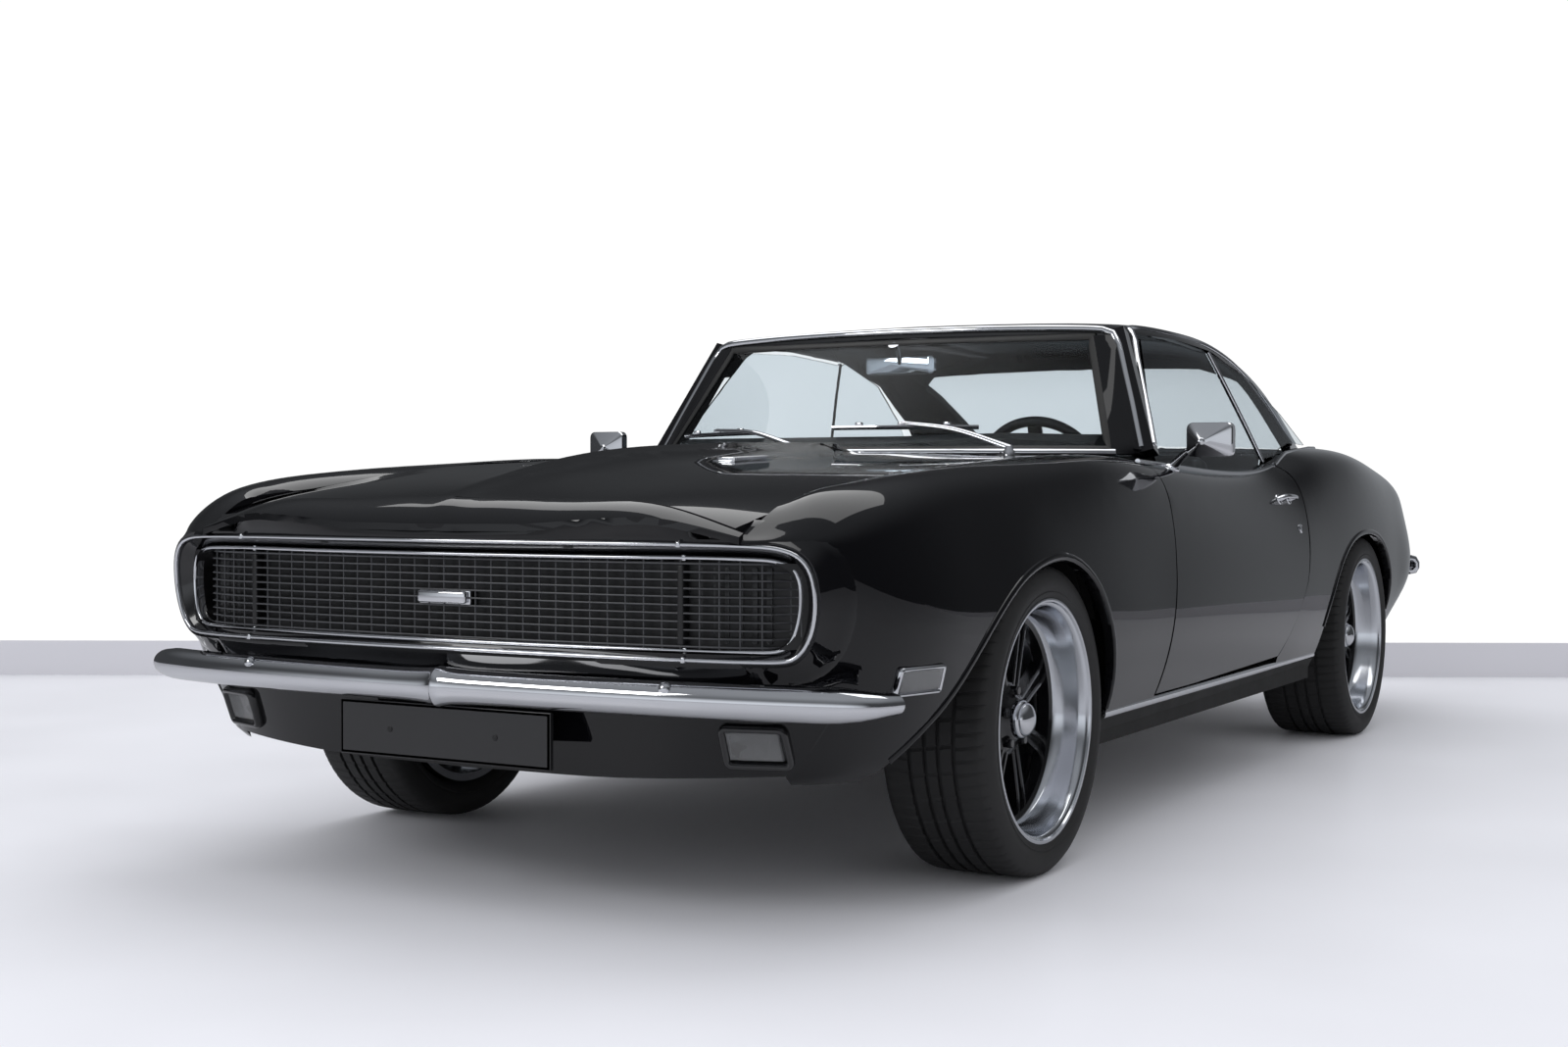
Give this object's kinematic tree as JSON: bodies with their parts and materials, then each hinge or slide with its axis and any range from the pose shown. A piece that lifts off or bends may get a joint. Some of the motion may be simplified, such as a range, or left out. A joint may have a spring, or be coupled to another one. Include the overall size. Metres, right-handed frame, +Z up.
{
  "type": "two-door coupe car",
  "caption": "Late-1960s style two-door fastback coupe with long hood, hidden-headlamp grille, opening doors, hood and boot, steered front wheels and turning road wheels.",
  "frame": {"origin": "on the ground under the middle of the car's length and width", "axes": "+Z up, nose towards -Y, +X towards the car's left side"},
  "size_m": [1.98, 4.6931, 1.2978],
  "materials": {
    "body_paint": "gloss black lacquer",
    "bright_chrome": "polished",
    "glass": "clear",
    "black_plastic": "satin",
    "lamp_clear": "clear",
    "lamp_red": "gloss",
    "underbody": "satin black",
    "cast_metal": "painted",
    "steel_pipe": "satin",
    "seat_vinyl": "satin",
    "tyre": "matt",
    "rim": "polished lip, gloss black centre"
  },
  "bodies": {
    "shell": {"boot_floor": "underbody", "cowl_panel": "body_paint", "dashboard": "black_plastic", "deck_filler": "body_paint", "driveline": "underbody", "engine_block": "cast_metal", "exhaust": "steel_pipe", "fender_left": "body_paint", "fender_right": "body_paint", "floor_pan": "underbody", "front_bumper": "bright_chrome", "front_lamps": "lamp_clear", "front_plate": "black_plastic", "front_seats": "seat_vinyl", "front_subframe": "underbody", "front_valance": "body_paint", "fuel_tank": "steel_pipe", "grille": "black_plastic", "grille_surround": "bright_chrome", "header_panel": "body_paint", "inner_mirror": "bright_chrome", "quarter_glass": "glass", "quarter_left": "body_paint", "quarter_right": "body_paint", "rear_axle": "underbody", "rear_bumper": "bright_chrome", "rear_seat": "seat_vinyl", "rear_springs": "underbody", "rear_window": "glass", "roof": "body_paint", "steering_wheel": "black_plastic", "tail_lamps": "lamp_red", "tail_panel": "body_paint", "wheelhouses": "underbody", "windshield": "glass", "wipers": "bright_chrome"},
    "hood": {"hood": "body_paint"},
    "decklid": {"decklid": "body_paint"},
    "door_left": {"door_left": "body_paint", "door_glass_left": "glass", "door_hardware_left": "bright_chrome"},
    "door_right": {"door_right": "body_paint", "door_glass_right": "glass", "door_hardware_right": "bright_chrome"},
    "knuckle_left": {"knuckle_left": "underbody"},
    "knuckle_right": {"knuckle_right": "underbody"},
    "wheel_front_left": {"tyre_front_left": "tyre", "rim_front_left": "rim"},
    "wheel_front_right": {"tyre_front_right": "tyre", "rim_front_right": "rim"},
    "wheel_rear_left": {"tyre_rear_left": "tyre", "rim_rear_left": "rim"},
    "wheel_rear_right": {"tyre_rear_right": "tyre", "rim_rear_right": "rim"}
  },
  "joints": [
    {"name": "hood_hinge", "type": "hinge", "parent": "shell", "child": "hood", "pos_m": [0, -0.8, 0.945], "axis": [-1, 0, 0], "range_deg": [0, 50]},
    {"name": "decklid_hinge", "type": "hinge", "parent": "shell", "child": "decklid", "pos_m": [0, 1.64, 0.962], "axis": [1, 0, 0], "range_deg": [0, 65]},
    {"name": "door_left_hinge", "type": "hinge", "parent": "shell", "child": "door_left", "pos_m": [0.915, -0.64, 0.6], "axis": [0, 0, -1], "range_deg": [0, 65]},
    {"name": "door_right_hinge", "type": "hinge", "parent": "shell", "child": "door_right", "pos_m": [-0.915, -0.64, 0.6], "axis": [0, 0, 1], "range_deg": [0, 65]},
    {"name": "steer_left", "type": "hinge", "parent": "shell", "child": "knuckle_left", "pos_m": [0.69, -1.41, 0.329], "axis": [0, 0, 1], "range_deg": [-30, 30]},
    {"name": "steer_right", "type": "hinge", "parent": "shell", "child": "knuckle_right", "pos_m": [-0.69, -1.41, 0.329], "axis": [0, 0, 1], "range_deg": [-30, 30]},
    {"name": "spin_front_left", "type": "hinge", "parent": "knuckle_left", "child": "wheel_front_left", "pos_m": [0.78, -1.41, 0.329], "axis": [1, 0, 0], "continuous": true},
    {"name": "spin_front_right", "type": "hinge", "parent": "knuckle_right", "child": "wheel_front_right", "pos_m": [-0.78, -1.41, 0.329], "axis": [1, 0, 0], "continuous": true},
    {"name": "spin_rear_left", "type": "hinge", "parent": "shell", "child": "wheel_rear_left", "pos_m": [0.78, 1.333, 0.329], "axis": [1, 0, 0], "continuous": true},
    {"name": "spin_rear_right", "type": "hinge", "parent": "shell", "child": "wheel_rear_right", "pos_m": [-0.78, 1.333, 0.329], "axis": [1, 0, 0], "continuous": true}
  ],
  "couplings": [
    {"joint": "steer_right", "follows": "steer_left", "ratio": 1}
  ]
}
